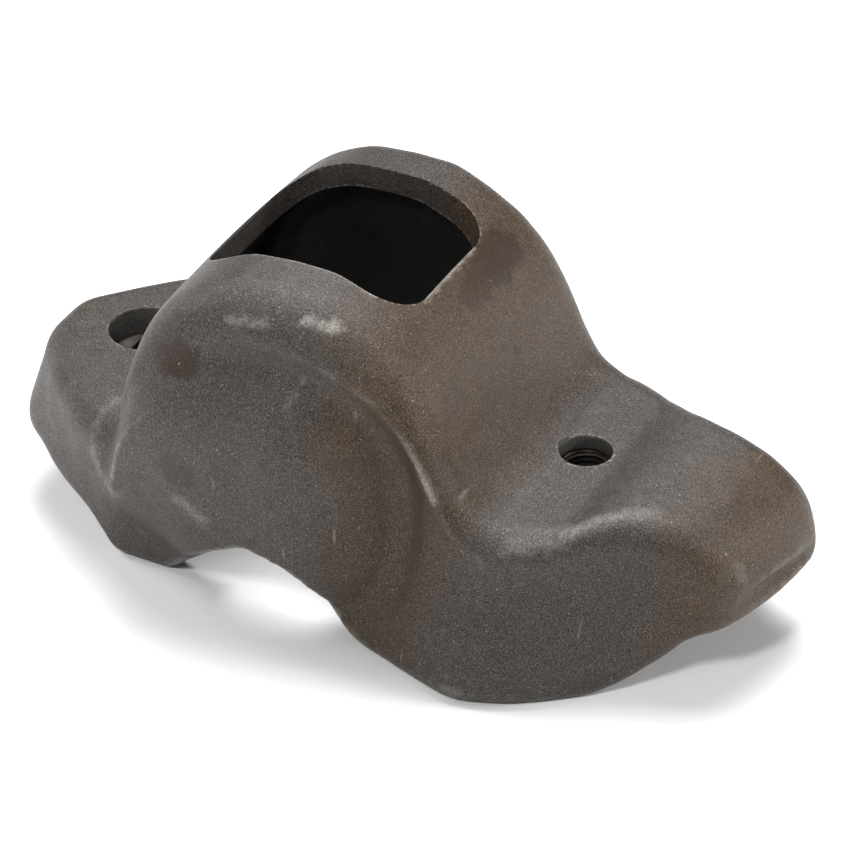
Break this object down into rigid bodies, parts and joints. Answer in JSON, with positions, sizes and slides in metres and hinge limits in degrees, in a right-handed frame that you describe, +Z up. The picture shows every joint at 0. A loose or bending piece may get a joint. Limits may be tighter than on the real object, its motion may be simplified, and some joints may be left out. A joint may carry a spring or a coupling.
{
  "type": "excavator bucket tooth wear cap",
  "caption": "Saddle-shaped cast wear cap for an excavator bucket tooth, with a humped centre and window, two flanges, a turning lock and a threaded lifting point.",
  "frame": {"origin": "middle of the footprint, on the plane of the feet", "axes": "+X from the lock bore towards the lifting hole, +Z up out of the window, +Y to the far side"},
  "size_m": [0.2686, 0.1372, 0.1215],
  "materials": {
    "casting": "scale-skinned as-cast surface with light rust",
    "elastomer": "matt black",
    "pin_steel": "dulled machined steel",
    "washer_steel": "plain steel",
    "insert_steel": "dark oiled steel"
  },
  "bodies": {
    "cap": {"tooth_casting": "casting", "lock_sleeve": "elastomer", "lock_stop_plug": "pin_steel", "lock_dirt_seal": "elastomer", "lock_thrust_washer": "washer_steel", "thread_insert": "insert_steel"},
    "lock": {"lock_pin": "pin_steel", "lock_snap_ring": "washer_steel"}
  },
  "joints": [
    {"name": "lock_turn", "type": "hinge", "parent": "cap", "child": "lock", "pos_m": [-0.09773, 0.00151, 0.0575], "axis": [0, 0, 1], "range_deg": [0, 180]}
  ]
}
